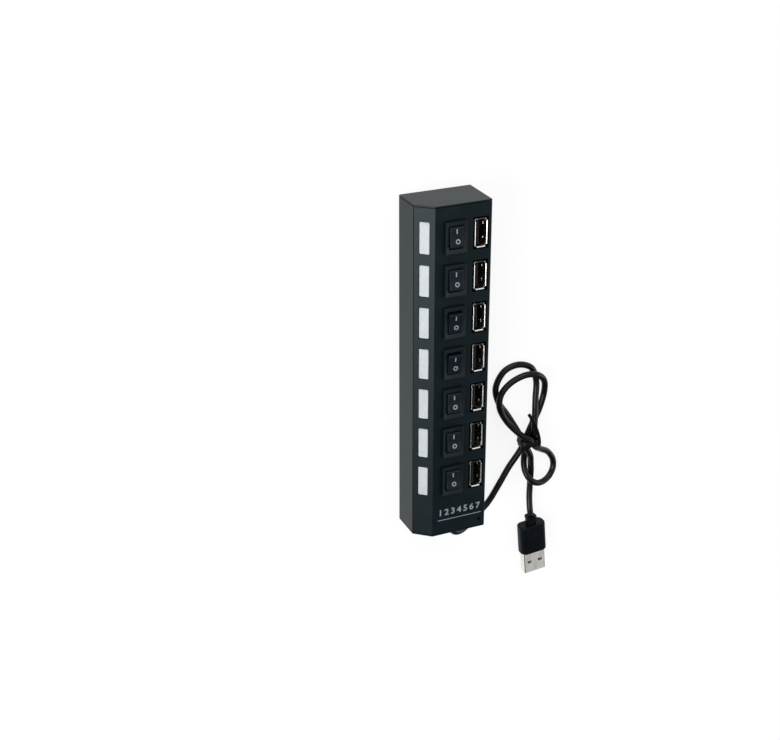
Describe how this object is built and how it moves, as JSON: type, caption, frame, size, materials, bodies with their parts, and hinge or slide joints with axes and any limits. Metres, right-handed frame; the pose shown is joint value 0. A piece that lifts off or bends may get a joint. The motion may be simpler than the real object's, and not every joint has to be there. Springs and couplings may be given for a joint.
{
  "type": "usb hub",
  "caption": "Long black hub box with a chamfered edge of light windows, a row of rocker switches beside a row of sockets, and a tied lead ending in a USB-A plug.",
  "frame": {"origin": "centre of the hub's bounding box at the height of its back, measured without the lead and plug", "axes": "+Z out through the panel, away from the back the hub lies on; +Y along the hub, away from the lead; +X across the panel, from the light windows to the sockets"},
  "size_m": [0.0858, 0.2125, 0.0258],
  "materials": {
    "case_plastic": "fine moulded texture",
    "switch_plastic": "satin",
    "window_plastic": "translucent white, satin",
    "plated_shell": "bright nickel plate",
    "contact_plastic": "moulded, with plated contacts",
    "circuit_board": "solder mask",
    "chip_epoxy": "moulded epoxy",
    "component_can": "drawn can",
    "screw_steel": "zinc plated",
    "lead_rubber": "smooth, glossy",
    "grip_plastic": "moulded over the plug, satin",
    "tie_plastic": "glossy"
  },
  "bodies": {
    "hub": {"rear_shell": "case_plastic", "front_cover": "case_plastic", "top_end_cap": "case_plastic", "bottom_end_cap": "case_plastic", "main_board": "circuit_board", "light_board": "circuit_board", "light_window_1": "window_plastic", "switch_housing_1": "switch_plastic", "socket_shell_1": "plated_shell", "socket_tongue_1": "contact_plastic", "light_window_2": "window_plastic", "switch_housing_2": "switch_plastic", "socket_shell_2": "plated_shell", "socket_tongue_2": "contact_plastic", "light_window_3": "window_plastic", "switch_housing_3": "switch_plastic", "socket_shell_3": "plated_shell", "socket_tongue_3": "contact_plastic", "light_window_4": "window_plastic", "switch_housing_4": "switch_plastic", "socket_shell_4": "plated_shell", "socket_tongue_4": "contact_plastic", "light_window_5": "window_plastic", "switch_housing_5": "switch_plastic", "socket_shell_5": "plated_shell", "socket_tongue_5": "contact_plastic", "light_window_6": "window_plastic", "switch_housing_6": "switch_plastic", "socket_shell_6": "plated_shell", "socket_tongue_6": "contact_plastic", "light_window_7": "window_plastic", "switch_housing_7": "switch_plastic", "socket_shell_7": "plated_shell", "socket_tongue_7": "contact_plastic", "hub_chip_1": "chip_epoxy", "hub_chip_2": "chip_epoxy", "crystal": "component_can", "reservoir_capacitor": "component_can", "case_screw_1": "screw_steel", "case_screw_2": "screw_steel", "case_screw_3": "screw_steel", "case_screw_4": "screw_steel", "strain_relief": "lead_rubber", "lead": "lead_rubber", "twist_tie": "tie_plastic", "plug_grip": "grip_plastic", "plug_shell": "plated_shell", "plug_tongue": "contact_plastic"},
    "rocker_1": {"rocker_1": "switch_plastic"},
    "rocker_2": {"rocker_2": "switch_plastic"},
    "rocker_3": {"rocker_3": "switch_plastic"},
    "rocker_4": {"rocker_4": "switch_plastic"},
    "rocker_5": {"rocker_5": "switch_plastic"},
    "rocker_6": {"rocker_6": "switch_plastic"},
    "rocker_7": {"rocker_7": "switch_plastic"}
  },
  "joints": [
    {"name": "rocker_1_press", "type": "hinge", "parent": "hub", "child": "rocker_1", "pos_m": [-0.0005, 0.0683, 0.0219], "axis": [1, 0, 0], "range_deg": [0, 12]},
    {"name": "rocker_2_press", "type": "hinge", "parent": "hub", "child": "rocker_2", "pos_m": [-0.0005, 0.048, 0.0219], "axis": [1, 0, 0], "range_deg": [0, 12]},
    {"name": "rocker_3_press", "type": "hinge", "parent": "hub", "child": "rocker_3", "pos_m": [-0.0005, 0.0277, 0.0219], "axis": [-1, 0, 0], "range_deg": [0, 12]},
    {"name": "rocker_4_press", "type": "hinge", "parent": "hub", "child": "rocker_4", "pos_m": [-0.0005, 0.0074, 0.0219], "axis": [-1, 0, 0], "range_deg": [0, 12]},
    {"name": "rocker_5_press", "type": "hinge", "parent": "hub", "child": "rocker_5", "pos_m": [-0.0005, -0.0129, 0.0219], "axis": [1, 0, 0], "range_deg": [0, 12]},
    {"name": "rocker_6_press", "type": "hinge", "parent": "hub", "child": "rocker_6", "pos_m": [-0.0005, -0.0332, 0.0219], "axis": [1, 0, 0], "range_deg": [0, 12]},
    {"name": "rocker_7_press", "type": "hinge", "parent": "hub", "child": "rocker_7", "pos_m": [-0.0005, -0.0535, 0.0219], "axis": [1, 0, 0], "range_deg": [0, 12]}
  ]
}
